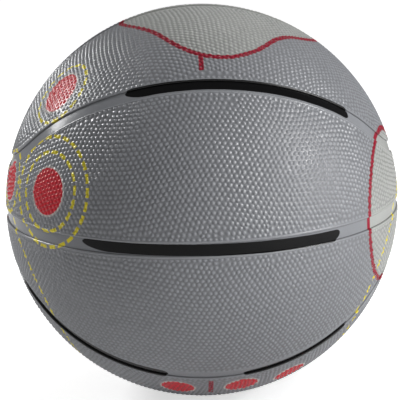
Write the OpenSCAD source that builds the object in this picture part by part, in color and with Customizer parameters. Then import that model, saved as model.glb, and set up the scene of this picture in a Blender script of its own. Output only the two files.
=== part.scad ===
// Junior basketball of moulded rubber, in layers from the bladder out to the cover panels.
// Millimetres and degrees. The origin is the ball's centre, +Z is up and the front faces -Y.
// The belt seam lies in z = 0 and the crown seam in y = 0, so they cross on the X axis.
// A loop seam runs round each end of Z. Its long sides are great-circle arcs in planes that hold the X axis,
// and its ends are smaller arcs that meet the long sides smoothly and cross the crown seam.

/* [Ball] */
// Girth of the ball over its panels
ball_girth = 698.5; // [560:0.5:780]

/* [Wall] */
// Thickness of the cover panels
cover_t = 1.6; // [1.4:0.1:3]
// Thickness of the carcass
carcass_t = 0.5; // [0.3:0.1:1.5]
// Thickness of the thread winding
winding_t = 0.4; // [0.3:0.1:1.2]
// Thickness of the bladder
bladder_t = 0.7; // [0.5:0.1:1.5]
// Bond line left between neighbouring layers
bond_gap = 0.1; // [0.1:0.02:0.2]

/* [Seams] */
// Tilt of a loop's long sides from the belt's plane, in degrees
loop_tilt = 45; // [40:0.5:52]
// Radius of a loop's end arcs, in degrees of the sphere
loop_end_r = 30; // [24:0.5:34]
// Width of the channels between the panels' walls
channel_w = 6.4; // [4:0.1:8]
// Depth of the channels at the panels' walls
channel_depth = 1.1; // [0.6:0.1:1.2]
// Easing of the panels' edges into the belt's channel
edge_r = 0.8; // [0.4:0.1:1.2]
// Clearance round the seam strips
strip_gap = 0.1; // [0.1:0.02:0.2]

/* [Valve boot] */
// Height of the valve above the belt seam on the back, in degrees
valve_elevation = 22.5; // [16:0.5:29]
// Depth of the valve's face below the cover
valve_recess = 0.5; // [0.2:0.1:1]
// Bevel round the valve's hole in the cover
hole_bevel = 0.6; // [0.3:0.1:1]
// Diameter of the boot's neck through the wall
neck_d = 8.4; // [7.8:0.2:10]
// Diameter of the boot's barrel inside the bladder
barrel_d = 11; // [10:0.5:15]
// Length of the barrel below the flange
barrel_len = 14; // [13:0.5:20]
// Bevel at the barrel's inner end
barrel_bevel = 1.2; // [0.5:0.1:2]
// Diameter of the boot's flange
flange_d = 28; // [20:1:40]
// Thickness of the boot's flange
flange_t = 1.2; // [0.8:0.1:2]
// Diameter of the air passage below the plug
passage_d = 2; // [1.5:0.1:3]

/* [Valve plug] */
// Length of the plug from its face to its tip
plug_len = 15; // [13.5:0.5:16]
// Diameter of the plug's head
head_d = 6.4; // [5.8:0.1:7]
// Thickness of the plug's head
head_t = 1.2; // [0.8:0.1:2]
// Diameter of the plug's shank
shank_d = 4.8; // [4.2:0.1:5.4]
// Length of the taper at the plug's tip
tip_len = 2; // [1:0.25:3]
// Diameter of the plug's tip
tip_d = 3.4; // [2.4:0.1:4]
// Diameter of the hole for the inflating needle
needle_d = 2.2; // [1.8:0.1:2.6]
// Length of the needle hole's straight wall
needle_len = 9; // [6:0.5:10]
// Diameter of the funnel that leads into the needle hole
funnel_d = 3.4; // [2.8:0.1:4]
// Depth of the funnel
funnel_len = 0.6; // [0.3:0.1:1]
// Clearance of the plug in its boot
plug_gap = 0.05; // [0.03:0.01:0.1]

/* [Hidden] */
$fn = 128;

cover_grey = [0.50, 0.50, 0.51];
strip_black = [0.07, 0.07, 0.08];
carcass_brown = [0.30, 0.22, 0.17];
thread_white = [0.86, 0.85, 0.80];
bladder_black = [0.13, 0.13, 0.14];
boot_black = [0.10, 0.10, 0.10];
plug_grey = [0.26, 0.26, 0.27];

// Radii of the layers, from the outside in
ball_r = ball_girth / (2 * PI);
cover_in = ball_r - cover_t;
carcass_out = cover_in - bond_gap;
carcass_in = carcass_out - carcass_t;
winding_out = carcass_in - bond_gap;
winding_in = winding_out - winding_t;
bladder_out = winding_in - bond_gap;
bladder_in = bladder_out - bladder_t;
flange_out = bladder_in - bond_gap;
flange_in = flange_out - flange_t;

// A length that reaches past every surface
reach = 2 * ball_r;

// Tilt from Z of the pole that a loop's end arc is drawn round, so that it meets the long sides smoothly
end_pole = acos(sin(loop_end_r) / cos(loop_tilt));
// Half the sweep of a long side, and of an end arc
side_sweep = atan2(sin(end_pole), cos(end_pole) * sin(loop_tilt));
end_sweep = atan2(sin(loop_tilt), cos(loop_tilt) * sin(end_pole));
// Height of a loop's ends above the belt
end_rise = 90 - end_pole - loop_end_r;
// Flats that follow half an end arc closely enough to stay within the channel
end_flats = 3;
// How far a long side stops short of the smooth joint. The end arcs run past it by twice as much, so that
// the two lap there, a few hundredths of a millimetre apart.
lap = 1;
radian = 180 / PI;
side_reach = side_sweep - lap / ball_r * radian;
end_reach = end_sweep + 2 * lap / (ball_r * sin(loop_end_r)) * radian;
// How far a channel's end arcs run past the crown seam
overrun = 5;

// Half of the gap between two strips that meet end to end, on a great circle and on an end arc
half_gap = asin(strip_gap / 2 / ball_r);
end_half_gap = asin(strip_gap / 2 / (ball_r * sin(loop_end_r)));

// The edges along the crown and the loops are eased a little less, so that the edges of two channels that
// cross don't break at the same height
edge_step = 0.06;
crown_edge_r = edge_r - edge_step;
loop_edge_r = edge_r - 2 * edge_step;
// Turns at which an eased edge has its corners
edge_turns = [0, 45, 90];

strip_w = channel_w - 2 * strip_gap;
floor_r = ball_r - channel_depth;
// How far the tips of a slice of shell stop from the X axis
tip_cut = channel_w / 3;
// Half heights of the sections that cut a loop's long sides and its end arcs
side_tall = 2 * cover_t;
end_tall = 3 * cover_t;

// Bearings on a seam's circle, where -Y or the top is at three quarters of a turn
half_turn = 180;
low_bearing = 270;
full_turn = 360;

// Places along the valve's axis, as distances from the ball's centre
valve_face = ball_r - valve_recess;
head_seat = valve_face - head_t;
plug_tip = valve_face - plug_len;
needle_mouth = valve_face - funnel_len;
needle_end = needle_mouth - needle_len;
barrel_end = flange_in - barrel_len;
barrel_top = flange_in + flange_t / 2;
valve_hole_d = neck_d + 2 * bond_gap;

// The half-space below z = 0
module below() translate([-reach, -reach, -reach]) cube([2 * reach, 2 * reach, reach]);

// Sweeps a section along a circle of the sphere round +Z. In the section, x is the height above the cover
// and y runs across the seam.
module seam_arc(polar, from, to)
    rotate_extrude(angle = to - from, start = from)
        rotate(90 - polar)
            translate([ball_r, 0])
                children();

// A stretch of the crown seam. The top is at low_bearing and the right crossing at a full turn.
module crown_arc(from, to) rotate([-90, 0, 0]) seam_arc(90, from, to) children();

// The end arc of the top loop on the right
module loop_end_arc(from, to) rotate([0, end_pole, 0]) seam_arc(loop_end_r, from, to) children();

// The front half of the top loop seam. The first section is for its long side, the second for its ends.
module loop_front_half(gap) {
    rotate([-loop_tilt, 0, 0])
        seam_arc(90, low_bearing - side_reach, low_bearing + side_reach)
            children(0);
    loop_end_arc(full_turn - end_reach, full_turn - gap) children(1);
    mirror([1, 0, 0]) loop_end_arc(full_turn - end_reach, full_turn - gap) children(1);
}

// Section of a straight slot
module slot_section(width, tall)
    translate([-tall, -width / 2])
        square([2 * tall, width]);

// Section of the channel between two panels, with their edges eased in two steps
module channel_section(tall, ease) {
    half_w = channel_w / 2;
    edge = [for (turn = edge_turns) ease * [sin(turn) - 1, 1 - cos(turn)]];
    right = concat(
        [[-tall, half_w]],
        [for (point = edge) point + [0, half_w]],
        [[tall, half_w + ease]]
    );
    left = [for (i = [len(right) - 1 : -1 : 0]) [right[i][0], -right[i][1]]];
    polygon(concat(right, left));
}

// The front half of the top loop's channel
module loop_channel()
    loop_front_half(-overrun) {
        channel_section(side_tall, loop_edge_r);
        channel_section(end_tall, loop_edge_r);
    }

// Turns +Z to the valve's axis
module at_valve() rotate([valve_elevation - 90, 0, 0]) children();

// One full layer of the wall, with the hole for the valve's neck
module layer(r_out, r_in) {
    difference() {
        sphere(r_out);
        sphere(r_in);
        at_valve() cylinder(h = reach, d = valve_hole_d);
    }
}

// A slice of shell between two heights above the belt, on the front. Its tips stop short of the X axis,
// within the channels that cross there.
module slice(r_in, r_out, from, to)
    rotate([0, 90, 0])
        rotate_extrude(angle = to - from, start = half_turn + 90 - to)
            difference() {
                intersection() {
                    circle(r_out);
                    translate([tip_cut, -reach]) square([reach, 2 * reach]);
                }
                circle(r_in);
            }

// What lies beyond a flat that touches the right end of the top loop
module beyond_end(bearing)
    rotate([0, end_pole, 0])
        rotate([0, 0, bearing])
            rotate([0, loop_end_r - 90, 0])
                below();

// The part of a slice of shell inside the top loop, out to the middle of the channel
module loop_blank(r_in, r_out) {
    difference() {
        slice(r_in, r_out, loop_tilt, 90);
        for (flat = [0 : end_flats - 1]) {
            beyond_end(-end_sweep * flat / end_flats);
            mirror([1, 0, 0]) beyond_end(-end_sweep * flat / end_flats);
        }
    }
}

// The rest of a slice of cover on the front, between the belt and the top loop
module band_blank() {
    difference() {
        slice(cover_in, ball_r, 0, 90);
        loop_blank(cover_in - cover_t, ball_r + cover_t);
    }
}

// Each of these cuts one channel along the edge of a panel
module cut_by_loop() {
    difference() {
        children();
        loop_channel();
    }
}

module cut_by_crown() {
    difference() {
        children();
        crown_arc(0, full_turn) channel_section(side_tall, crown_edge_r);
    }
}

module cut_by_belt() {
    difference() {
        children();
        seam_arc(90, 0, full_turn) channel_section(side_tall, edge_r);
    }
}

// The front panel inside the top loop
module loop_panel() cut_by_crown() cut_by_loop() loop_blank(cover_in, ball_r);

// The front panel between the belt and the top loop
module band_panel() cut_by_belt() cut_by_crown() cut_by_loop() band_blank();

// Section of a strip on a great circle, drawn from the ball's centre
module strip_section() {
    difference() {
        intersection() {
            circle(floor_r);
            translate([0, -strip_w / 2]) square([reach, strip_w]);
        }
        circle(cover_in);
    }
}

// The front half of the belt's strip
module belt_strip()
    rotate_extrude(angle = half_turn - 2 * half_gap, start = half_turn + half_gap)
        strip_section();

// The front half of the top loop's strip
module loop_strip() {
    intersection() {
        slice(cover_in, floor_r, 0, 90);
        loop_front_half(end_half_gap) {
            slot_section(strip_w, side_tall);
            slot_section(strip_w, end_tall);
        }
    }
}

// A stretch of the crown's strip
module crown_strip(from, to)
    rotate([-90, 0, 0])
        rotate_extrude(angle = to - from, start = from)
            strip_section();

// The loop's channel where the crown seam crosses it on the right
module loop_crossing() loop_end_arc(-end_sweep / 2, end_sweep / 2) slot_section(channel_w, end_tall);

// The crown's strip over the top, from one end of the loop to the other
module long_crown_strip() {
    difference() {
        crown_strip(half_turn + end_rise, full_turn - end_rise);
        loop_crossing();
        mirror([1, 0, 0]) loop_crossing();
    }
}

// The crown's strip between the belt and the top loop, on the right
module short_crown_strip() {
    difference() {
        crown_strip(full_turn - end_rise, full_turn);
        loop_crossing();
        seam_arc(90, 0, full_turn) slot_section(channel_w, side_tall);
    }
}

module flip_back() mirror([0, 1, 0]) children();
module flip_down() mirror([0, 0, 1]) children();
module flip_left() mirror([1, 0, 0]) children();

module bladder() color(bladder_black) layer(bladder_out, bladder_in);
module winding() color(thread_white) layer(winding_out, winding_in);
module carcass() color(carcass_brown) layer(carcass_out, carcass_in);

// Half section of the valve boot, with y along the valve's axis
module boot_section() {
    difference() {
        union() {
            translate([0, flange_in]) square([neck_d / 2, valve_face - flange_in]);
            polygon([
                [0, barrel_end],
                [barrel_d / 2 - barrel_bevel, barrel_end],
                [barrel_d / 2, barrel_end + barrel_bevel],
                [barrel_d / 2, barrel_top],
                [0, barrel_top]
            ]);
            intersection() {
                difference() {
                    circle(flange_out);
                    circle(flange_in);
                }
                square([flange_d / 2, reach]);
            }
        }
        translate([0, head_seat - plug_gap]) square([head_d / 2 + plug_gap, reach]);
        translate([0, plug_tip - plug_gap]) square([shank_d / 2 + plug_gap, reach]);
        square([passage_d / 2, reach]);
    }
}

// Half section of the valve plug, with y along the valve's axis
module plug_section() {
    difference() {
        polygon([
            [0, plug_tip],
            [tip_d / 2, plug_tip],
            [shank_d / 2, plug_tip + tip_len],
            [shank_d / 2, head_seat],
            [head_d / 2, head_seat],
            [head_d / 2, valve_face],
            [0, valve_face]
        ]);
        polygon([
            [0, needle_end],
            [needle_d / 2, needle_end],
            [needle_d / 2, needle_mouth],
            [funnel_d / 2, valve_face],
            [0, valve_face]
        ]);
    }
}

module valve_boot() color(boot_black) at_valve() rotate_extrude() boot_section();
module valve_plug() color(plug_grey) at_valve() rotate_extrude() plug_section();

// The valve's hole through the cover, with its bevel
module valve_hole() {
    at_valve() {
        cylinder(h = reach, d = valve_hole_d);
        translate([0, 0, ball_r - hole_bevel])
            cylinder(h = 2 * hole_bevel, d1 = valve_hole_d, d2 = valve_hole_d + 4 * hole_bevel);
    }
}

module panel_top_front() color(cover_grey) loop_panel();
module panel_top_back() color(cover_grey) flip_back() loop_panel();
module panel_bottom_front() color(cover_grey) flip_down() loop_panel();
module panel_bottom_back() color(cover_grey) flip_back() flip_down() loop_panel();

module panel_upper_front() color(cover_grey) band_panel();
module panel_lower_front() color(cover_grey) flip_down() band_panel();
module panel_lower_back() color(cover_grey) flip_back() flip_down() band_panel();
module panel_upper_back() {
    color(cover_grey)
        difference() {
            flip_back() band_panel();
            valve_hole();
        }
}

module belt_strip_front() color(strip_black) belt_strip();
module belt_strip_back() color(strip_black) flip_back() belt_strip();

module top_loop_strip_front() color(strip_black) loop_strip();
module top_loop_strip_back() color(strip_black) flip_back() loop_strip();
module bottom_loop_strip_front() color(strip_black) flip_down() loop_strip();
module bottom_loop_strip_back() color(strip_black) flip_back() flip_down() loop_strip();

module crown_strip_top() color(strip_black) long_crown_strip();
module crown_strip_bottom() color(strip_black) flip_down() long_crown_strip();
module crown_strip_right_upper() color(strip_black) short_crown_strip();
module crown_strip_right_lower() color(strip_black) flip_down() short_crown_strip();
module crown_strip_left_upper() color(strip_black) flip_left() short_crown_strip();
module crown_strip_left_lower() color(strip_black) flip_left() flip_down() short_crown_strip();

bladder();
valve_boot();
valve_plug();
winding();
carcass();
panel_top_front();
panel_top_back();
panel_upper_front();
panel_upper_back();
panel_lower_front();
panel_lower_back();
panel_bottom_front();
panel_bottom_back();
belt_strip_front();
belt_strip_back();
top_loop_strip_front();
top_loop_strip_back();
bottom_loop_strip_front();
bottom_loop_strip_back();
crown_strip_top();
crown_strip_bottom();
crown_strip_right_upper();
crown_strip_right_lower();
crown_strip_left_upper();
crown_strip_left_lower();
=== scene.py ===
import math

import bpy
import numpy as np
from mathutils import Matrix, Vector
from mathutils.geometry import delaunay_2d_cdt


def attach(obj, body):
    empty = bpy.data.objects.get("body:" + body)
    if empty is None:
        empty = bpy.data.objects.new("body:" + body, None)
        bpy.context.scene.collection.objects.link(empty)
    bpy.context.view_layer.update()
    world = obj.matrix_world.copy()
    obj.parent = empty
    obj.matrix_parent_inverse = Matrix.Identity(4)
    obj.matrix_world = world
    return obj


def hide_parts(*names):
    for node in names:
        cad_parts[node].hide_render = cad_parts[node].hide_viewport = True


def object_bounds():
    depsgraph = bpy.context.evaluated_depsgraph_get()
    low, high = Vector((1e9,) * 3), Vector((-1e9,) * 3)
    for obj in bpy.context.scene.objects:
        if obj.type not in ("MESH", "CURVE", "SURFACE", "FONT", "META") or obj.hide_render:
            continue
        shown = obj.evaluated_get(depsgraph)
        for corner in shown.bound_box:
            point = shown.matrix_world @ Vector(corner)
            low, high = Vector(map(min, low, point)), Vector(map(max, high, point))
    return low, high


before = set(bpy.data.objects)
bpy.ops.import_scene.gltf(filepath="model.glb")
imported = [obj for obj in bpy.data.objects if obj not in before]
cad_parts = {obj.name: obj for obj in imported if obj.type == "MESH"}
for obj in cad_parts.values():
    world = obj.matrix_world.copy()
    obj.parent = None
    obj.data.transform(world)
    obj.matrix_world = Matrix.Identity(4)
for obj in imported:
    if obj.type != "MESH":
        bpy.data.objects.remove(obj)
cad_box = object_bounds()

# Sizes of the part in millimetres and its angles in radians, as in its source
MM = 0.001
BALL_GIRTH = 698.5
BALL_R = BALL_GIRTH / (2 * math.pi)
COVER_T = 1.6
HALF_CHANNEL = 3.2
BELT_EASE = 0.80
CROWN_EASE = 0.74
LOOP_EASE = 0.68
LOOP_TILT = math.radians(45)
LOOP_END_R = math.radians(30)
END_POLE = math.acos(math.sin(LOOP_END_R) / math.cos(LOOP_TILT))
SIDE_SWEEP = math.atan2(math.sin(END_POLE), math.cos(END_POLE) * math.sin(LOOP_TILT))
END_SWEEP = math.atan2(math.sin(LOOP_TILT), math.cos(LOOP_TILT) * math.sin(END_POLE))
VALVE_TILT = math.radians(22.5)
HOLE_R = 4.3
HOLE_BEVEL = 0.6

# Pebbles of the cover, in millimetres. A ring of a pebble's dome has its share of the way to the valley,
# the most that its radius may be, and its drop below the pebble's top.
PEBBLE_PITCH = 2.83
PEBBLE_ROW = 2.38
PEBBLE_H = 0.54
PEBBLE_RINGS = ((0.37, 0.53, 0.07), (0.72, 1.03, 0.36))
PEBBLE_VARY = 0.08
PEBBLE_JITTER = 0.15
FOOT_SHARE = 0.84
SEED = 11

# Rows of pebbles: the swing of their waves, the length of a radian of them, and how the rows settle
WAVE = 1.8
WAVE_LENGTH = 13.0
LATTICE_ROWS = 44
LATTICE_COLUMNS = 70
SETTLE_ROUNDS = 3
SETTLE_STEPS = 5
SETTLE_PACE = 0.5

# Edges of a panel in millimetres: the smooth margins, and the room for the first two rows of pebbles
MARGIN = 0.3
MARGIN_DROP = 0.12
VALVE_RING = 3.0
PEBBLE_CLEAR = 1.0
ROW_CLEAR = 0.8 * PEBBLE_ROW

# Points along the edges: their spacing in millimetres, the rough turn in radians of two edges, from which
# they get their number of points, and the turns in degrees at which the eased edge has points
EDGE_STEP = 1.0
BAND_END_TURN = 0.26
CROWN_EDGE_TURN = 2.6
EASE_TURNS = (18, 36, 54, 72, 90)

# Slack where points are sorted: in degrees at a loop's end, in millimetres at the hole and between points
END_SLACK = 1
HOLE_SLACK = 0.1
POINT_SLACK = 1e-7

# Directions: the plane of the top loop's long side on the front, and the pole of its right end
AXIS_X = np.array([1.0, 0.0, 0.0])
LOOP_NORMAL = np.array([0.0, math.sin(LOOP_TILT), math.cos(LOOP_TILT)])
LOOP_FRONT = np.array([0.0, -math.cos(LOOP_TILT), math.sin(LOOP_TILT)])
POLE = np.array([math.sin(END_POLE), 0.0, math.cos(END_POLE)])
POLE_DOWN = np.array([math.cos(END_POLE), 0.0, -math.sin(END_POLE)])
POLE_FRONT = np.array([0.0, -1.0, 0.0])


def unit(rows):
    """The same directions at a length of 1."""
    return rows / np.linalg.norm(rows, axis=-1, keepdims=True)


def flip_x(points):
    """The mirror image left to right, in the opposite order."""
    return points[::-1] * [-1, 1, 1]


def arc(first, second, axis, height, start, end):
    """Points on a circle of the ball, about a millimetre apart, with both ends."""
    radius = math.sqrt(BALL_R ** 2 - height ** 2)
    count = max(2, round(abs(end - start) * BALL_R / EDGE_STEP))
    turn = np.linspace(start, end, count + 1)[:, None]
    return height * axis + radius * (np.cos(turn) * first + np.sin(turn) * second)


def loop_edge(offset, crown):
    """The edge that runs along the top loop's front, from its right end to its left end.

    The offset is the distance from the middle of the channel, and is positive inside the loop.
    """
    angle = LOOP_END_R - math.asin(offset / BALL_R)
    height = BALL_R * math.cos(angle)
    start = math.asin(crown / (BALL_R * math.sin(angle)))
    count = round(END_SWEEP * BALL_R * math.sin(LOOP_END_R) / EDGE_STEP)
    turn = np.linspace(start, END_SWEEP, count + 1)[:, None]
    ring = np.cos(turn) * POLE_DOWN + np.sin(turn) * POLE_FRONT
    end = height * POLE + BALL_R * math.sin(angle) * ring
    side = arc(LOOP_FRONT, AXIS_X, LOOP_NORMAL, offset, SIDE_SWEEP, -SIDE_SWEEP)
    return np.concatenate([end[:-1], side[:-1], flip_x(end)])


def crown_turn(offset, crown):
    """How far from the top the crown's edge meets the loop's edge on the right."""
    angle = LOOP_END_R - math.asin(offset / BALL_R)
    return END_POLE + math.acos(BALL_R * math.cos(angle) / math.sqrt(BALL_R ** 2 - crown ** 2))


def crown_edge(crown, start, end, count):
    """The edge along the crown's front, between two turns from the top."""
    radius = math.sqrt(BALL_R ** 2 - crown ** 2)
    turn = np.linspace(start, end, count + 1)
    return np.stack([radius * np.sin(turn), np.full(count + 1, -crown), radius * np.cos(turn)], 1)


def band_outline(spread):
    """Outline of the panel between the belt and the top loop, counter-clockwise from the lower left."""
    belt, crown, loop = (HALF_CHANNEL + s for s in spread)
    reach = math.acos(crown / math.sqrt(BALL_R ** 2 - belt ** 2))
    count = round(math.pi * BALL_R / EDGE_STEP)
    turn = np.linspace(-reach, reach, count + 1)
    ring = math.sqrt(BALL_R ** 2 - belt ** 2)
    bottom = np.stack([ring * np.sin(turn), -ring * np.cos(turn), np.full(count + 1, belt)], 1)
    low = math.acos(belt / math.sqrt(BALL_R ** 2 - crown ** 2))
    steps = round(BAND_END_TURN * BALL_R / EDGE_STEP)
    right = crown_edge(crown, low, crown_turn(-loop, crown), steps)
    top = loop_edge(-loop, crown)
    return np.concatenate([bottom[:-1], right[:-1], top[:-1], flip_x(right)[:-1]])


def loop_outline(spread):
    """Outline of the panel inside the top loop, counter-clockwise from the lower left."""
    _, crown, loop = (HALF_CHANNEL + s for s in spread)
    bottom = loop_edge(loop, crown)[::-1]
    turn = crown_turn(loop, crown)
    top = crown_edge(crown, turn, -turn, round(CROWN_EDGE_TURN * BALL_R / EDGE_STEP))
    return np.concatenate([bottom[:-1], top[:-1]])


def panel_axes(tilt):
    """A point in the middle of the front, tilted up from the belt, and the way up from there."""
    return (np.array([0.0, -math.cos(tilt), math.sin(tilt)]),
            np.array([0.0, math.sin(tilt), math.cos(tilt)]))


def hole_outline(radius):
    """The valve's hole on the front's mirror image of its panel, clockwise."""
    centre, up = panel_axes(VALVE_TILT)
    turn = np.linspace(0, -2 * math.pi, round(2 * math.pi * radius / EDGE_STEP) + 1)[:-1, None]
    ring = np.cos(turn) * AXIS_X + np.sin(turn) * up
    return radius * ring + math.sqrt(BALL_R ** 2 - radius ** 2) * centre


def seam_gaps(points):
    """Distances in millimetres to the belt, the crown and, positive inside it, the loop."""
    p = np.abs(unit(points)) * [1, -1, 1]
    along = np.degrees(np.arctan2(p @ POLE_FRONT, p @ POLE_DOWN))
    at_end = (along > -END_SLACK) & (along < math.degrees(END_SWEEP))
    by_side = np.arcsin(np.clip(p @ LOOP_NORMAL, -1, 1))
    by_end = LOOP_END_R - np.arccos(np.clip(p @ POLE, -1, 1))
    return (BALL_R * np.arcsin(np.abs(p[:, 2])), BALL_R * np.arcsin(np.abs(p[:, 1])),
            BALL_R * np.where(at_end, by_end, by_side))


def flatten(directions, tilt):
    """Stereographic map from the point opposite the panel's middle."""
    middle, up = panel_axes(tilt)
    scale = 2 * BALL_R / (1 + directions @ middle)
    return np.stack([directions @ AXIS_X * scale, directions @ up * scale], 1)


def delaunay(directions, tilt, edges):
    """Triangles of points on the ball, as rows of three numbers."""
    flat = [Vector(p) for p in flatten(directions, tilt).tolist()]
    _, _, faces, origins, _, _ = delaunay_2d_cdt(flat, edges, [], 0, POINT_SLACK)
    return np.array([ids[0] for ids in origins])[np.array(faces)]


def lattice(tilt, turned):
    """Staggered rows of points round a panel's middle, turned from the panel's length."""
    middle, up = panel_axes(tilt)
    along = math.cos(turned) * AXIS_X + math.sin(turned) * up
    up = math.cos(turned) * up - math.sin(turned) * AXIS_X
    points = []
    for row in range(-LATTICE_ROWS, LATTICE_ROWS + 1):
        high = row * PEBBLE_ROW
        pitch = PEBBLE_PITCH / math.cos(high / BALL_R)
        across = (np.arange(-LATTICE_COLUMNS, LATTICE_COLUMNS + 1) + (row % 2) / 2) * pitch
        turn = (across + WAVE * math.sin(high / WAVE_LENGTH))[:, None] / BALL_R
        lift = (high + WAVE * np.cos(across / WAVE_LENGTH))[:, None] / BALL_R
        points.append(np.cos(lift) * (np.cos(turn) * middle + np.sin(turn) * along) + np.sin(lift) * up)
    return np.concatenate(points)


def settle(points, fixed, tilt):
    """Moves the points after the fixed ones to the middle of their neighbours, little by little."""
    for _ in range(SETTLE_ROUNDS):
        triangles = delaunay(points, tilt, [])
        here = triangles.ravel()
        there = np.roll(triangles, -1, axis=1).ravel()
        count = np.bincount(here, minlength=len(points))[:, None]
        for _ in range(SETTLE_STEPS):
            total = np.stack([np.bincount(here, points[there, k], len(points)) for k in range(3)], 1)
            moved = unit(total / count) - points
            points[fixed:] += SETTLE_PACE * moved[fixed:]
            points = unit(points)
    return points


def pebble_centres(rows, tilt, turned, clear, rng):
    """Pebbles in a row along each edge of a panel, and settled rows between them."""
    inner = lattice(tilt, turned)
    points = unit(np.concatenate(rows + [inner[clear(inner)]]))
    points = settle(points, sum(len(row) for row in rows), tilt)
    return unit(points + rng.normal(0, PEBBLE_JITTER / BALL_R, points.shape))


def ring_length(ring):
    """The length of a closed ring of points."""
    return np.linalg.norm(ring - np.roll(ring, 1, axis=0), axis=1).sum()


def resample(ring, count):
    """The same closed ring with another number of points, evenly spaced."""
    closed = np.concatenate([ring, ring[:1]])
    walked = np.append(0, np.cumsum(np.linalg.norm(np.diff(closed, axis=0), axis=1)))
    place = np.linspace(0, walked[-1], count + 1)[:-1]
    return np.stack([np.interp(place, walked, closed[:, k]) for k in range(3)], 1)


def triangulate(directions, loops, tilt, inside):
    """Triangles between all the points, within the loops."""
    edges = []
    for start, count in loops:
        edges += [(start + i, start + (i + 1) % count) for i in range(count)]
    triangles = delaunay(directions, tilt, edges)
    return triangles[inside(unit(directions[triangles].mean(1)))]


def ease_levels():
    """How the panel's edge turns down: share of the easing left, and share of it dropped."""
    for turn in EASE_TURNS:
        yield 1 - math.sin(math.radians(turn)), 1 - math.cos(math.radians(turn))


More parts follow.
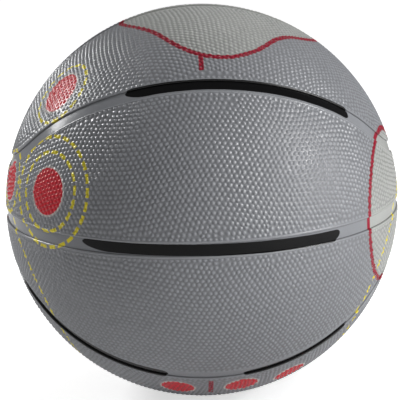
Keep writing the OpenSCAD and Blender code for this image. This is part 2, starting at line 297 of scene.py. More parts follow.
class Panel:
    """Vertices and triangles of one pebbled panel on the front, in millimetres."""

    def __init__(self, outline, area, tilt, turned, hole):
        rng = np.random.default_rng(SEED)
        eases = np.array([BELT_EASE, CROWN_EASE, LOOP_EASE])
        rims = [outline(eases), outline(eases + MARGIN)]
        rows = [outline(eases + MARGIN + PEBBLE_CLEAR)]
        if hole:
            brim = HOLE_R + HOLE_BEVEL
            rims += [hole_outline(brim), hole_outline(brim + VALVE_RING)]
            rows.append(hole_outline(brim + VALVE_RING + PEBBLE_CLEAR))
        rows = [resample(row, round(ring_length(row) / PEBBLE_PITCH)) for row in rows]
        starts = np.cumsum([0] + [len(ring) for ring in rims + rows])
        centres = pebble_centres(rows, tilt, turned, lambda points: is_clear(points, area, hole), rng)
        self.base = unit(np.concatenate(rims + [centres]))
        self.pebble = np.arange(len(self.base)) >= starts[len(rims)]
        self.heights = rng.normal(1, PEBBLE_VARY, len(self.base))
        loops = [(start, len(ring)) for start, ring in zip(starts, rims + rows)]
        self.triangles = triangulate(self.base, loops, tilt, lambda points: is_inside(points, area, hole))
        self.points = []
        self.faces = []
        self.total = 0
        self.add_cover()
        self.add_edge([outline(eases * share) for share, _ in ease_levels()], loops[0][1], 0)
        if hole:
            steps = [hole_outline(HOLE_R + HOLE_BEVEL * share) for share, _ in ease_levels()]
            start, count = loops[2]
            self.add_edge([resample(ring, count) for ring in steps], count, start)
        self.add_back()

    def add(self, directions, heights):
        """Adds vertices at heights above the cover and gives their numbers."""
        heights = np.broadcast_to(heights, len(directions))
        self.points.append(unit(directions) * (BALL_R + heights)[:, None])
        first = self.total
        self.total += len(directions)
        return np.arange(first, self.total)

    def tri(self, a, b, c):
        """Adds a triangle for each row of three vertex numbers."""
        self.faces.append(np.stack([a, b, c], 1))

    def quad(self, a, b, c, d):
        """Adds two triangles for each row of four vertex numbers."""
        self.tri(a, b, c)
        self.tri(a, c, d)

    def add_cover(self):
        """The pebbled outside. Each pebble is a dome of rings, and the margins stay smooth."""
        base, pebble, triangles = self.base, self.pebble, self.triangles
        self.add(base, np.where(pebble, np.minimum(PEBBLE_H * (self.heights - 1), 0), -MARGIN_DROP))
        count = len(base)
        ends = np.concatenate([triangles[:, [i, (i + 1) % 3]] for i in range(3)])
        keys, number = np.unique(ends.min(1) * count + ends.max(1), return_inverse=True)
        edge_of = number.reshape(3, -1)
        low, high = keys // count, keys % count
        share = np.full(len(keys), 0.5)
        share[pebble[low] & ~pebble[high]] = FOOT_SHARE
        share[~pebble[low] & pebble[high]] = 1 - FOOT_SHARE
        mids = unit(base[low] + (base[high] - base[low]) * share[:, None])
        mid_drop = np.where(pebble[low] | pebble[high], PEBBLE_H, MARGIN_DROP)
        mid_drop = np.where(pebble[low] != pebble[high], (PEBBLE_H + MARGIN_DROP) / 2, mid_drop)
        mid = self.add(mids, -mid_drop)
        cores = unit(mids[edge_of].mean(0))
        domed = pebble[triangles]
        core = self.add(cores, -np.where(domed.all(1), PEBBLE_H, mid_drop[edge_of].mean(0)))

        def rings(centre, target):
            """Vertices part of the way from pebbles to the valleys round them, one set for each ring."""
            way = base[centre]
            step = target - way
            length = np.linalg.norm(step, axis=1) * BALL_R
            made = []
            for share, radius, drop in PEBBLE_RINGS:
                part = np.minimum(share, radius / length)[:, None]
                made.append(self.add(way + step * part, -drop * self.heights[centre]))
            return made

        on_low, on_high = rings(low, mids), rings(high, mids)
        for i in range(3):
            before = (i + 2) % 3
            corner = triangles[:, i]
            to_core = rings(corner, cores)
            after_edge, before_edge = edge_of[i], edge_of[before]
            after = [np.where(low[after_edge] == corner, a[after_edge], b[after_edge])
                     for a, b in zip(on_low, on_high)]
            ahead = [np.where(low[before_edge] == corner, a[before_edge], b[before_edge])
                     for a, b in zip(on_low, on_high)]
            p = pebble[corner]
            inner, outer = 0, 1
            self.tri(corner[p], after[inner][p], to_core[inner][p])
            self.tri(corner[p], to_core[inner][p], ahead[inner][p])
            self.quad(after[inner][p], after[outer][p], to_core[outer][p], to_core[inner][p])
            self.quad(to_core[inner][p], to_core[outer][p], ahead[outer][p], ahead[inner][p])
            self.quad(after[outer][p], mid[after_edge][p], core[p], to_core[outer][p])
            self.quad(to_core[outer][p], core[p], mid[before_edge][p], ahead[outer][p])
            f = ~p
            self.quad(corner[f], mid[after_edge][f], core[f], mid[before_edge][f])

    def add_edge(self, outlines, count, start):
        """The eased edge and the wall down to the back."""
        here = np.arange(start, start + count)
        drops = [MARGIN_DROP + (CROWN_EASE - MARGIN_DROP) * drop for _, drop in ease_levels()]
        walls = list(zip(outlines, drops)) + [(outlines[-1], COVER_T)]
        for outline, drop in walls:
            there = self.add(outline, -drop)
            self.quad(np.roll(here, -1), here, there, np.roll(there, -1))
            here = there

    def add_back(self):
        """The plain back of the panel."""
        back = self.add(self.base, -COVER_T)
        a, b, c = self.triangles.T
        self.tri(back[a], back[c], back[b])

    def mesh(self, name, signs):
        """A mesh of the panel, or of its mirror image where signs are negative."""
        points = np.concatenate(self.points) * signs * MM
        faces = np.concatenate(self.faces)
        used, number = np.unique(faces, return_inverse=True)
        faces = number.reshape(faces.shape)
        points = points[used]
        if np.prod(signs) < 0:
            faces = faces[:, ::-1]
        mesh = bpy.data.meshes.new(name)
        mesh.vertices.add(len(points))
        mesh.vertices.foreach_set("co", points.astype(np.float32).ravel())
        mesh.loops.add(faces.size)
        mesh.loops.foreach_set("vertex_index", faces.astype(np.int32).ravel())
        mesh.polygons.add(len(faces))
        mesh.polygons.foreach_set("loop_start", np.arange(0, faces.size, 3, dtype=np.int32))
        mesh.polygons.foreach_set("use_smooth", np.ones(len(faces), bool))
        mesh.update(calc_edges=True)
        mesh.validate()
        return mesh


def band_area(points, away):
    """Which points lie between the belt and the top loop on the front, this far from the seams' middles.

    What an edge is eased by is added to the distance, here and in loop_area.
    """
    belt, crown, loop = seam_gaps(points)
    return ((belt > away + BELT_EASE) & (crown > away + CROWN_EASE) & (loop < -away - LOOP_EASE)
            & (points[:, 2] > 0) & (points[:, 1] < 0))


def loop_area(points, away):
    """Which points lie inside the top loop on the front, this far from the seams' middles."""
    _, crown, loop = seam_gaps(points)
    return ((crown > away + CROWN_EASE) & (loop > away + LOOP_EASE)
            & (points[:, 2] > 0) & (points[:, 1] < 0))


def valve_gap(points):
    """Distances in millimetres to the middle of the valve's hole."""
    centre, _ = panel_axes(VALVE_TILT)
    return BALL_R * np.arccos(np.clip(unit(points) @ centre, -1, 1))


def is_inside(points, area, hole):
    """Which points lie on a panel, past its eased edges."""
    inside = area(points, HALF_CHANNEL)
    if hole:
        inside &= valve_gap(points) > HOLE_R + HOLE_BEVEL - HOLE_SLACK
    return inside


def is_clear(points, area, hole):
    """Which points leave room for the rows of pebbles along a panel's edges."""
    clear = area(points, HALF_CHANNEL + MARGIN + PEBBLE_CLEAR + ROW_CLEAR)
    if hole:
        clear &= valve_gap(points) > HOLE_R + HOLE_BEVEL + VALVE_RING + PEBBLE_CLEAR + ROW_CLEAR
    return clear


BAND_TILT = LOOP_TILT / 2
TOP_TILT = (math.pi / 2 + LOOP_TILT) / 2
TOP_TURN = math.radians(-22)
band = Panel(band_outline, band_area, BAND_TILT, turned=0, hole=False)
holed_band = Panel(band_outline, band_area, BAND_TILT, turned=0, hole=True)
cap = Panel(loop_outline, loop_area, TOP_TILT, turned=TOP_TURN, hole=False)

# Each cover panel: the shape that it shares, and the signs of x, y and z that take the shape to its place
PANELS = {
    "panel_top_front": (cap, (1, 1, 1)),
    "panel_top_back": (cap, (1, -1, 1)),
    "panel_upper_front": (band, (1, 1, 1)),
    "panel_upper_back": (holed_band, (1, -1, 1)),
    "panel_lower_front": (band, (1, 1, -1)),
    "panel_lower_back": (band, (1, -1, -1)),
    "panel_bottom_front": (cap, (1, 1, -1)),
    "panel_bottom_back": (cap, (1, -1, -1)),
}

# Colours of the rubber, its print and the talc inside, as linear shares of the light
GREY = (0.276, 0.284, 0.303)
PALE_GREY = (0.412, 0.420, 0.404)
BLACK = (0.003, 0.003, 0.0035)
RED = (0.720, 0.005, 0.022)
STRIPE_RED = (0.310, 0.002, 0.022)
PALE_EDGE = (0.600, 0.560, 0.540)
YELLOW = (0.880, 0.730, 0.030)
TALC = (0.300, 0.295, 0.280)

# Print on the ball. A field, disc or ring has its azimuth from the front and its height above the belt in
# degrees, and its radius in millimetres. The top field's edge has waves too: how many go round, how far
# they swell in millimetres, and the bearing in degrees where they start. A tick has the heights of its
# ends in degrees. All but the top field and the ticks is there twice, half a turn apart round the ball.
TOP_FIELD = (44.3, 80.4, 49.7)
TOP_WAVES = ((2, 5.0, -56.5), (3, 8.4, -41.9))
SIDE_FIELD = (73.6, 0.7, 42.9)
STRIPE_W = 3.0
DISCS = ((-62, 40, 12.0), (-50, 12.5, 12.5), (-76, 11, 11.0),
         (-16, -54, 9.0), (15, -54, 9.0), (40, -52, 9.0))
DISC_EDGE = 1.1
RINGS = ((-62, 40, 18.5), (-50, 12.5, 21.0), (-50, 12.5, 29.5), (-76, 11, 17.0), (90.4, -22.6, 57.0))
RING_W = 2.0
DASH = 7.4
DASH_SHARE = 0.70
TICKS = ((50.3, 56.5), (-60.0, -48.7))
TICK_W = 2.6

# Black paint in the channels. A stretch has half its width in millimetres and two ends. An end has its
# place along the seam in degrees, its distance from the seam's middle, how much further the paint goes
# for each millimetre across, and the length of its rounding.
BELT_PAINT = ((3.05, (-35.5, 0.60, 1.6, 12.0), (38.5, -0.95, 0.6, 4.5)),)
TOP_LOOP_PAINT = ((3.00, (-28.7, 1.05, 1.7, 10.0), (54.8, 1.05, 0.4, 4.0)),)
BOTTOM_LOOP_PAINT = ((2.60, (-77.0, 1.40, 0.6, 9.0), (-17.0, 1.40, 0.0, 6.0)),
                     (1.70, (13.0, 2.30, 0.6, 8.0), (54.0, 2.30, 0.6, 10.0)))
CROWN_PAINT = ((3.10, (46.0, 0.0, 0.7, 7.0), (64.6, 0.0, -0.7, 7.0)),
               (3.10, (-76.0, 0.0, 0.7, 7.0), (-30.0, 0.0, -0.7, 7.0)))
PAINT_WOBBLE = 0.22
PAINT_SOFT = 0.06

# Softness of the print's edges in millimetres
SOFT = 0.25

# Wear and grain of the printed rubber. A noise has its scale, its detail and, for some, its roughness. A
# tone or a roughness has its values at 0 and at 1 of what drives it. A bump has its strength and its
# distance in metres.
CLOUDS = (60, 4, 0.6)
CLOUD_TONE = (0.93, 1.07)
SPECKS = (1400, 2)
SPECK_TONE = (0.95, 1.05)
WOBBLES = (90, 3)
SMEARS = (220, 3)
FINE_GRAIN = (2600, 2)
COARSE_GRAIN = (500, 2)
COARSE_SHARE = 0.6
GRAIN_BUMP = (0.12, 0.0001)

# Painted shade in the valleys between the pebbles and down the walls of the cover, with the pebbles' tops
# a little lightened, and painted shade in the corners of the strips. A valley or wall has its height
# against the ball's radius and its softness, in millimetres.
VALLEY = (-0.6 * PEBBLE_H, 0.4 * PEBBLE_H)
VALLEY_SHADE = (1.05, 0.79)
WALL = (-0.75, 0.2)
CORNER_SOFT = 0.6
CORNER_SHADE = (1, 0.62)

# Gloss: the cover's, the strips', and how print and paint change it
COVER_ROUGH = (0.20, 0.28)
COVER_SPECULAR = 0.6
STRIP_ROUGH = (0.15, 0.21)
STRIP_SPECULAR = 0.22
PRINT_SMOOTHS = 0.05
PAINT_ROUGH = (1, 0.6)

# Talc on the inner rubber. A cover of it has a noise, the level above which it shows, and its softness.
BLOOM = ((45, 6, 0.65), 0.5, 0.2)
FLECKS = ((900, 3), 0.66, 0.05)
MOULD = (160, 4)
MOULD_TONE = (0.88, 1.12)
DUSTY_SMEARS = (300, 3)
DUSTY_SMEAR_SHARE = 0.4
DUSTY_ROUGH = (0.42, 0.72)
DUSTY_FINE = (1800, 3)
DUSTY_COARSE = (240, 3)
DUSTY_COARSE_SHARE = 0.8
DUSTY_BUMP = (0.25, 0.0001)

# Sockets of a colour mix
MIX_SHARE, MIX_UNDER, MIX_OVER, MIXED = 0, 6, 7, 2


def direction(azimuth, height):
    """The direction of a place on the ball, from its azimuth and height in degrees."""
    a, h = math.radians(azimuth), math.radians(height)
    return Vector((math.sin(a) * math.cos(h), -math.cos(a) * math.cos(h), math.sin(h)))


class Graph:
    """Writes sums as shader nodes. A value is a number or a node's output."""

    def __init__(self, name):
        self.material = bpy.data.materials.new(name)
        self.material.use_nodes = True
        self.nodes = self.material.node_tree.nodes
        self.links = self.material.node_tree.links
        self.shader = self.nodes["Principled BSDF"]
        self.place = self.nodes.new("ShaderNodeTexCoord").outputs["Object"]
        self.way = self.vector("NORMALIZE", self.place)

    def put(self, socket, value):
        """Links a node's output to a socket, or sets it to a number."""
        if isinstance(value, bpy.types.NodeSocket):
            self.links.new(value, socket)
        else:
            socket.default_value = value

    def math(self, operation, *values):
        node = self.nodes.new("ShaderNodeMath")
        node.operation = operation
        for socket, value in zip(node.inputs, values):
            self.put(socket, value)
        return node.outputs[0]

    def vector(self, operation, *values):
        node = self.nodes.new("ShaderNodeVectorMath")
        node.operation = operation
        for socket, value in zip(node.inputs, values):
            self.put(socket, value)
        return node.outputs["Value" if operation in ("DOT_PRODUCT", "LENGTH") else "Vector"]

    def add(self, *values):
        return self.chain("ADD", values)

    def mul(self, *values):
        return self.chain("MULTIPLY", values)

    def least(self, *values):
        return self.chain("MINIMUM", values)

    def most(self, *values):
        return self.chain("MAXIMUM", values)

    def chain(self, operation, values):
        total = values[0]
        for value in values[1:]:
            total = self.math(operation, total, value)
        return total

    def sub(self, a, b):
        return self.math("SUBTRACT", a, b)

    def size(self, a):
        return self.math("ABSOLUTE", a)

    def where_below(self, value, limit, soft=SOFT):
        """1 where the value is below the limit, with a soft edge."""
        node = self.nodes.new("ShaderNodeMapRange")
        node.interpolation_type = "SMOOTHSTEP"
        self.put(node.inputs["Value"], self.sub(value, limit))
        node.inputs["From Min"].default_value = -soft
        node.inputs["From Max"].default_value = soft
        node.inputs["To Min"].default_value = 1
        node.inputs["To Max"].default_value = 0
        return node.outputs["Result"]

    def along(self, axis):
        """How far the place on the ball lies along an axis, from -1 to 1."""
        return self.vector("DOT_PRODUCT", self.way, axis)

    def gap(self, centre):
        """Distance over the ball from a point, in millimetres."""
        return self.mul(self.math("ARCCOSINE", self.along(centre)), BALL_R)

    def twice(self, axis, side=1):
        """As along, with the ball turned to the side of a print that is there twice."""
        level = self.mul(self.along((axis[0], axis[1], 0)), side)
        return self.add(level, self.along((0, 0, axis[2])))

    def side(self, centre):
        """1 on the half of the ball with the centre, and -1 on the other half."""
        return self.math("SIGN", self.along((centre[0], centre[1], 0)))

    def twin_gap(self, centre):
        """Distance to a point or, where it is nearer, to its copy half a turn round the ball."""
        level = self.size(self.along((centre[0], centre[1], 0)))
        return self.mul(self.math("ARCCOSINE", self.add(level, self.along((0, 0, centre[2])))), BALL_R)

    def noise(self, scale, detail, rough=0.5):
        """Noise from 0 to 1, fixed to the ball."""
        node = self.nodes.new("ShaderNodeTexNoise")
        self.links.new(self.place, node.inputs["Vector"])
        node.inputs["Scale"].default_value = scale
        node.inputs["Detail"].default_value = detail
        node.inputs["Roughness"].default_value = rough
        return node.outputs["Fac"]

    def spread(self, value, low, high):
        """Takes 0 to 1 to the range from low to high."""
        return self.math("MULTIPLY_ADD", value, high - low, low)

    def blend(self, share, under, over):
        """One colour laid over another."""
        node = self.nodes.new("ShaderNodeMix")
        node.data_type = "RGBA"
        self.put(node.inputs[MIX_SHARE], share)
        for socket, colour in ((MIX_UNDER, under), (MIX_OVER, over)):
            opaque = colour if isinstance(colour, bpy.types.NodeSocket) else (*colour, 1)
            self.put(node.inputs[socket], opaque)
        return node.outputs[MIXED]

    def shade(self, colour, factor):
        """A colour made lighter or darker."""
        node = self.nodes.new("ShaderNodeVectorMath")
        node.operation = "SCALE"
        self.put(node.inputs[0], colour)
        self.put(node.inputs["Scale"], factor)
        return node.outputs[0]

    def bump(self, height, strength, distance):
        """Bumps on the surface, up to a distance in metres."""
        node = self.nodes.new("ShaderNodeBump")
        node.inputs["Strength"].default_value = strength
        node.inputs["Distance"].default_value = distance
        self.links.new(height, node.inputs["Height"])
        self.links.new(node.outputs["Normal"], self.shader.inputs["Normal"])


def seam_lines(g):
    """Distances in millimetres across the belt, the loops and the crown."""
    x, y, z = (g.along(axis) for axis in ((1, 0, 0), (0, 1, 0), (0, 0, 1)))
    side_x, side_y, side_z = (g.size(value) for value in (x, y, z))
    pole = g.add(g.mul(side_x, POLE[0]), g.mul(side_z, POLE[2]))
    down = g.sub(g.mul(side_x, POLE_DOWN[0]), g.mul(side_z, -POLE_DOWN[2]))
    at_end = g.math("LESS_THAN", g.math("ARCTAN2", side_y, down), END_SWEEP)
    by_end = g.sub(LOOP_END_R, g.math("ARCCOSINE", pole))
    by_side = g.math("ARCSINE", g.sub(g.mul(side_z, LOOP_NORMAL[2]), g.mul(side_y, LOOP_NORMAL[1])))
    loop = g.add(g.mul(at_end, by_end), g.mul(g.sub(1, at_end), by_side))
    return [g.mul(value, BALL_R) for value in (g.math("ARCSINE", z), loop, g.math("ARCSINE", y))]


def seam_paint(g, belt, loop, crown):
    """1 where the channels are painted black."""
    x, y, z = (g.along(axis) for axis in ((1, 0, 0), (0, 1, 0), (0, 0, 1)))
    facing = g.mul(g.math("SIGN", y), -1)
    azimuth = g.math("ARCTAN2", g.mul(x, facing), g.size(y))
    rise = g.math("ARCTAN2", z, g.size(x))
    upper = g.math("GREATER_THAN", z, 0)
    wobble = g.spread(g.noise(*WOBBLES), -PAINT_WOBBLE, PAINT_WOBBLE)

    def line(across, place, stretches):
        """1 on the painted stretches of a seam."""
        painted = 0
        for half_width, first, last in stretches:
            run = (last[1] - first[1]) / math.radians(last[0] - first[0])
            middle = g.math("MULTIPLY_ADD", place, run, first[1] - run * math.radians(first[0]))
            off = g.sub(g.add(across, wobble), middle)
            shape = g.math("POWER", g.mul(off, 1 / half_width), 2)
            for way, (end, _, slant, rounding) in ((-1, first), (1, last)):
                before = rounding - way * math.radians(end) * BALL_R
                past = g.math("MULTIPLY_ADD", place, way * BALL_R, before)
                past = g.most(g.sub(past, g.mul(off, slant)), 0)
                shape = g.add(shape, g.math("POWER", g.mul(past, 1 / rounding), 2))
            painted = g.most(g.where_below(shape, 1, PAINT_SOFT), painted)
        return painted

    return g.most(line(belt, azimuth, BELT_PAINT),
                  g.mul(line(loop, azimuth, TOP_LOOP_PAINT), upper),
                  g.mul(line(loop, azimuth, BOTTOM_LOOP_PAINT), g.sub(1, upper)),
                  line(crown, rise, CROWN_PAINT))


def round_axes(centre):
    """Two directions from a centre, from which bearings round it are measured."""
    first = Vector((0, 0, 1)).cross(centre).normalized()
    return first, centre.cross(first)


def top_field(g):
    """Distance past the edge of the wavy field on the top, in millimetres."""
    azimuth, height, radius = TOP_FIELD
    centre = direction(azimuth, height)
    first, second = round_axes(centre)
    bearing = g.math("ARCTAN2", g.along(second), g.along(first))
    edge = radius
    for waves, swell, start in TOP_WAVES:
        turn = g.math("MULTIPLY_ADD", bearing, waves, -math.radians(start))
        edge = g.add(g.mul(g.math("COSINE", turn), swell), edge)
    return g.sub(g.gap(centre), edge)


def dashed_ring(g, azimuth, height, radius):
    """1 on the dashes of a ring."""
    centre = direction(azimuth, height)
    first, second = round_axes(centre)
    side = g.side(centre)
    bearing = g.math("ARCTAN2", g.twice(second, side), g.twice(first, side))
    count = round(2 * math.pi * radius / DASH)
    beat = g.math("FRACT", g.math("MULTIPLY_ADD", bearing, count / (2 * math.pi), count))
    off = g.mul(g.size(g.sub(beat, 0.5)), 2 * math.pi * radius / count)
    across = g.size(g.sub(g.twin_gap(centre), radius))
    return g.mul(g.where_below(off, DASH * DASH_SHARE / 2), g.where_below(across, RING_W / 2))


def ticks(g):
    """1 on the short bars at the middle of the front."""
    aside = g.mul(g.size(g.along((1, 0, 0))), BALL_R)
    height = g.math("ARCSINE", g.along((0, 0, 1)))
    marks = 0
    for low, high in TICKS:
        off = g.size(g.sub(height, math.radians(low + high) / 2))
        marks = g.most(g.where_below(g.mul(off, BALL_R), math.radians(high - low) / 2 * BALL_R), marks)
    return g.mul(marks, g.where_below(aside, TICK_W / 2), g.math("LESS_THAN", g.along((0, 1, 0)), 0))


def print_colour(g):
    """The ball's grey with its fields, discs and dashed rings, and 1 where it is printed."""
    azimuth, height, radius = SIDE_FIELD
    fields = g.least(top_field(g), g.sub(g.twin_gap(direction(azimuth, height)), radius))
    discs = g.least(*(g.sub(g.twin_gap(direction(a, h)), r) for a, h, r in DISCS))
    dashes = g.most(*(dashed_ring(g, *ring) for ring in RINGS))
    stripes = g.most(g.where_below(g.size(fields), STRIPE_W / 2), ticks(g))
    red = g.where_below(discs, 0)
    colour = g.blend(g.where_below(fields, 0), GREY, PALE_GREY)
    colour = g.blend(dashes, colour, YELLOW)
    colour = g.blend(g.where_below(discs, DISC_EDGE), colour, PALE_EDGE)
    colour = g.blend(red, colour, RED)
    colour = g.blend(stripes, colour, STRIPE_RED)
    return colour, g.most(red, stripes, dashes)


def rubber(name, pebbled):
    """The printed grey rubber of the cover, or of the strips in the channels."""
    g = Graph(name)
    colour, printed = print_colour(g)
    lines = seam_lines(g)
    black = seam_paint(g, *lines)
    colour = g.blend(black, colour, BLACK)
    tone = g.mul(g.spread(g.noise(*CLOUDS), *CLOUD_TONE), g.spread(g.noise(*SPECKS), *SPECK_TONE))
    height = g.sub(g.mul(g.vector("LENGTH", g.place), 1 / MM), BALL_R)
    if pebbled:
        # Painted shade: the pebbles' valleys and the walls down into the channels are darkened, and the
        # pebbles' tops a little lightened.
        valley = g.where_below(height, *VALLEY)
        wall = g.where_below(height, *WALL)
        tone = g.mul(tone, g.spread(valley, *VALLEY_SHADE), g.spread(wall, *CORNER_SHADE))
        plain = g.spread(g.noise(*SMEARS), *COVER_ROUGH)
    else:
        # Painted shade in the corners along the strips' edges, where they meet the panels' walls.
        corner = g.where_below(HALF_CHANNEL, g.least(*(g.size(line) for line in lines)), CORNER_SOFT)
        tone = g.mul(tone, g.spread(corner, *CORNER_SHADE))
        plain = g.spread(g.noise(*SMEARS), *STRIP_ROUGH)
    g.links.new(g.shade(colour, tone), g.shader.inputs["Base Color"])
    rough = g.sub(plain, g.mul(printed, PRINT_SMOOTHS))
    if not pebbled:
        rough = g.mul(rough, g.spread(black, *PAINT_ROUGH))
    g.links.new(rough, g.shader.inputs["Roughness"])
    g.shader.inputs["Specular IOR Level"].default_value = COVER_SPECULAR if pebbled else STRIP_SPECULAR
    g.bump(g.add(g.noise(*FINE_GRAIN), g.mul(g.noise(*COARSE_GRAIN), COARSE_SHARE)), *GRAIN_BUMP)
    return g.material


def dusty_rubber(name, colour, most_dust):
    """Plain moulded rubber with a bloom of talc."""
    g = Graph(name)
    bloom, flecks = (g.mul(g.where_below(level, g.noise(*noise), soft), most_dust)
                     for noise, level, soft in (BLOOM, FLECKS))
    skin = g.blend(g.most(bloom, flecks), colour, TALC)
    g.links.new(g.shade(skin, g.spread(g.noise(*MOULD), *MOULD_TONE)), g.shader.inputs["Base Color"])
    smear = g.mul(g.noise(*DUSTY_SMEARS), DUSTY_SMEAR_SHARE)
    g.links.new(g.spread(g.add(bloom, smear), *DUSTY_ROUGH), g.shader.inputs["Roughness"])
    coarse = g.mul(g.noise(*DUSTY_COARSE), DUSTY_COARSE_SHARE)
    g.bump(g.add(g.noise(*DUSTY_FINE), coarse), *DUSTY_BUMP)
    return g.material


# The thread of the winding: its pitch in millimetres, the axes that its turns lie round, and the patches
# in which a layer of turns covers the ones below it
THREAD_PITCH = 0.9
THREAD = (0.640, 0.610, 0.520)
THREAD_AXES = ((1, 0, 0), (0.3, 0.95, 0.1), (-0.4, 0.2, 0.9), (0.6, -0.6, 0.53), (0.2, 0.7, -0.69))
LAYER_SCALE, LAYER_SCALE_STEP, LAYER_DETAIL = 28, 5, 2
LAYER_LEVEL, LAYER_SOFT = 0.5, 0.02
LAYER_LIGHTER = 0.04
# Painted shade in the grooves between turns of thread: the tone at a groove's bottom and at a turn's top
TURN_SHADE = (0.55, 1.05)
THREAD_CLOUDS = (70, 4)
THREAD_CLOUD_TONE = (0.8, 1.0)
THREAD_SMEARS = (400, 2)
THREAD_ROUGH = (0.55, 0.75)
THREAD_BUMP = (0.6, 0.0002)


def wound_thread(name):
    """Turns of thread in many directions, each lying over the ones before it in places."""
    g = Graph(name)
    height, lay = 0, 0
    for number, axis in enumerate(THREAD_AXES):
        lean = g.math("ARCSINE", g.along(Vector(axis).normalized()))
        turn = g.size(g.math("SINE", g.mul(lean, BALL_R * math.pi / THREAD_PITCH)))
        over = 1
        if number:
            patches = g.noise(LAYER_SCALE + LAYER_SCALE_STEP * number, LAYER_DETAIL)
            over = g.where_below(LAYER_LEVEL, patches, LAYER_SOFT)
        height = g.add(g.mul(turn, over), g.mul(height, g.sub(1, over)))
        lay = g.add(g.mul(over, LAYER_LIGHTER * number), g.mul(lay, g.sub(1, over)))
    cloud = g.spread(g.noise(*THREAD_CLOUDS), *THREAD_CLOUD_TONE)
    # Painted shade in the grooves between the turns, and each layer that lies over others a little
    # lighter.
    tone = g.mul(g.spread(height, *TURN_SHADE), g.add(lay, cloud))
    g.links.new(g.shade(THREAD, tone), g.shader.inputs["Base Color"])
    g.links.new(g.spread(g.noise(*THREAD_SMEARS), *THREAD_ROUGH), g.shader.inputs["Roughness"])
    g.bump(height, *THREAD_BUMP)
    return g.material


cover = rubber("cover_rubber_print", True)
seam = rubber("seam_rubber_print", False)

for node, (panel, signs) in PANELS.items():
    name = node.replace("panel", "cover")
    piece = bpy.data.objects.new(name, panel.mesh(name, np.array(signs)))
    bpy.context.scene.collection.objects.link(piece)
    piece.data.materials.append(cover)
    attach(piece, "ball")
    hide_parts(node)

# The inner pieces' materials: the rubber's colour, and the most talc that lies on it
INNER = {
    "bladder": dusty_rubber("bladder_butyl", (0.016, 0.016, 0.018), 0.45),
    "winding": wound_thread("winding_nylon"),
    "carcass": dusty_rubber("carcass_brown", (0.080, 0.048, 0.034), 0.20),
    "valve_boot": dusty_rubber("valve_black", (0.014, 0.014, 0.014), 0.16),
    "valve_plug": dusty_rubber("plug_grey", (0.055, 0.055, 0.060), 0.12),
}

for node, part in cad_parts.items():
    if "strip" in node or node in INNER:
        part.data.materials.clear()
        part.data.materials.append(INNER.get(node, seam))

# Camera at the photograph's place: its turns about the ball in degrees, its distance in metres, its lens
# in millimetres, and its shift as a share of the frame
YAW, PITCH, ROLL = 1.556, 13.35, 1.772
CAMERA_GAP = 8.09 * BALL_R * MM
LENS = 141.7
SHIFT = (-0.0046, -0.0012)

turned = (Matrix.Rotation(math.radians(ROLL), 3, "Z") @ Matrix.Rotation(math.radians(PITCH), 3, "X")
          @ Matrix.Rotation(math.radians(YAW), 3, "Y"))
right, up, back = (Vector((row[0], -row[2], row[1])) for row in turned)
camera = bpy.data.objects.new("camera", bpy.data.cameras.new("camera"))
camera.data.lens = LENS
camera.data.shift_x, camera.data.shift_y = SHIFT
axes = Matrix((right, up, back)).transposed().to_4x4()
camera.matrix_world = Matrix.Translation(back * CAMERA_GAP) @ axes
bpy.context.scene.collection.objects.link(camera)
bpy.context.scene.camera = camera

# Lamps are soft boxes that face the ball. Each has its place to the right, up and towards the viewer in
# metres, its size in metres, and its power in watts.
LAMPS = {
    "key": ((0.95, 0.40, 0.55), (0.5, 1.0), 7.9),
    "glint": ((0.95, 0.40, 0.55), (0.08, 0.08), 2.6),
    "rim": ((-0.95, 0.67, -0.31), (0.3, 0.4), 7.1),
    "top": ((0.10, 1.10, -0.45), (0.5, 0.5), 1.2),
    "low": ((0.70, -0.12, 0.70), (0.4, 0.2), 0.9),
}

for name, (place, size, power) in LAMPS.items():
    data = bpy.data.lights.new(name, "AREA")
    data.shape = "RECTANGLE"
    data.size, data.size_y = size
    data.energy = power
    box = bpy.data.objects.new(name, data)
    spot = right * place[0] + up * place[1] + back * place[2]
    box.location = spot
    box.rotation_mode = "QUATERNION"
    box.rotation_quaternion = (-spot).to_track_quat("-Z", "Y")
    bpy.context.scene.collection.objects.link(box)

# A pale floor and a white surround. The camera sees the surround and the floor's glow at full strength,
# and reflections see a share of both. The glow grows with the distance from the ball, over a reach in
# metres. The even light of the room comes from the surround too.
FLOOR_HALF = 8.0
FLOOR_TONE = 0.86
FLOOR_ROUGH = 0.9
FLOOR_GLOW = (0.62, 0.88)
GLOW_REACH = (0.15, 1.0)
ROOM_LIGHT = 0.165
SHINE_SHARE = 0.05
WHITE = (1, 1, 1, 1)


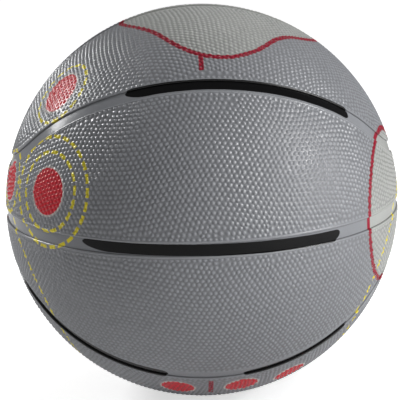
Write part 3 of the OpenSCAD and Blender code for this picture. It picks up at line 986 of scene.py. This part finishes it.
def scaled(tree, value, low, high, start=0, end=1):
    """Takes the range from start to end to the range from low to high, and no further."""
    node = tree.nodes.new("ShaderNodeMapRange")
    tree.links.new(value, node.inputs["Value"])
    node.inputs["From Min"].default_value = start
    node.inputs["From Max"].default_value = end
    node.inputs["To Min"].default_value = low
    node.inputs["To Max"].default_value = high
    return node.outputs["Result"]


def joined(tree, operation, first, second):
    """Two node outputs put together by a sum."""
    node = tree.nodes.new("ShaderNodeMath")
    node.operation = operation
    tree.links.new(first, node.inputs[0])
    tree.links.new(second, node.inputs[1])
    return node.outputs[0]


def seen(tree):
    """1 for rays from the camera or through glass, and a share of it for reflections."""
    path = tree.nodes.new("ShaderNodeLightPath")
    shine = scaled(tree, path.outputs["Is Glossy Ray"], 0, SHINE_SHARE)
    clear = joined(tree, "MAXIMUM", path.outputs["Is Camera Ray"], path.outputs["Is Transmission Ray"])
    return joined(tree, "MAXIMUM", clear, shine)


scene = bpy.context.scene
scene.view_settings.view_transform = "Standard"
world = bpy.data.worlds.new("studio")
scene.world = world
world.use_nodes = True
sky = world.node_tree.nodes["Background"]
sky.inputs["Color"].default_value = WHITE
tree = world.node_tree
tree.links.new(scaled(tree, seen(tree), ROOM_LIGHT, 1.0), sky.inputs["Strength"])

pale = bpy.data.materials.new("floor_pale")
pale.use_nodes = True
tree = pale.node_tree
card = tree.nodes["Principled BSDF"]
card.inputs["Base Color"].default_value = (FLOOR_TONE, FLOOR_TONE, FLOOR_TONE, 1)
card.inputs["Roughness"].default_value = FLOOR_ROUGH
card.inputs["Specular IOR Level"].default_value = 0
card.inputs["Emission Color"].default_value = WHITE
away = tree.nodes.new("ShaderNodeVectorMath")
away.operation = "LENGTH"
tree.links.new(tree.nodes.new("ShaderNodeTexCoord").outputs["Object"], away.inputs[0])
glow = scaled(tree, away.outputs["Value"], *FLOOR_GLOW, *GLOW_REACH)
tree.links.new(joined(tree, "MULTIPLY", seen(tree), glow), card.inputs["Emission Strength"])
bottom = cad_box[0][2]
mesh = bpy.data.meshes.new("floor")
corners = [(-1, -1), (1, -1), (1, 1), (-1, 1)]
mesh.from_pydata([(x * FLOOR_HALF, y * FLOOR_HALF, bottom) for x, y in corners], [], [(0, 1, 2, 3)])
mesh.materials.append(pale)
floor = bpy.data.objects.new("floor", mesh)
scene.collection.objects.link(floor)
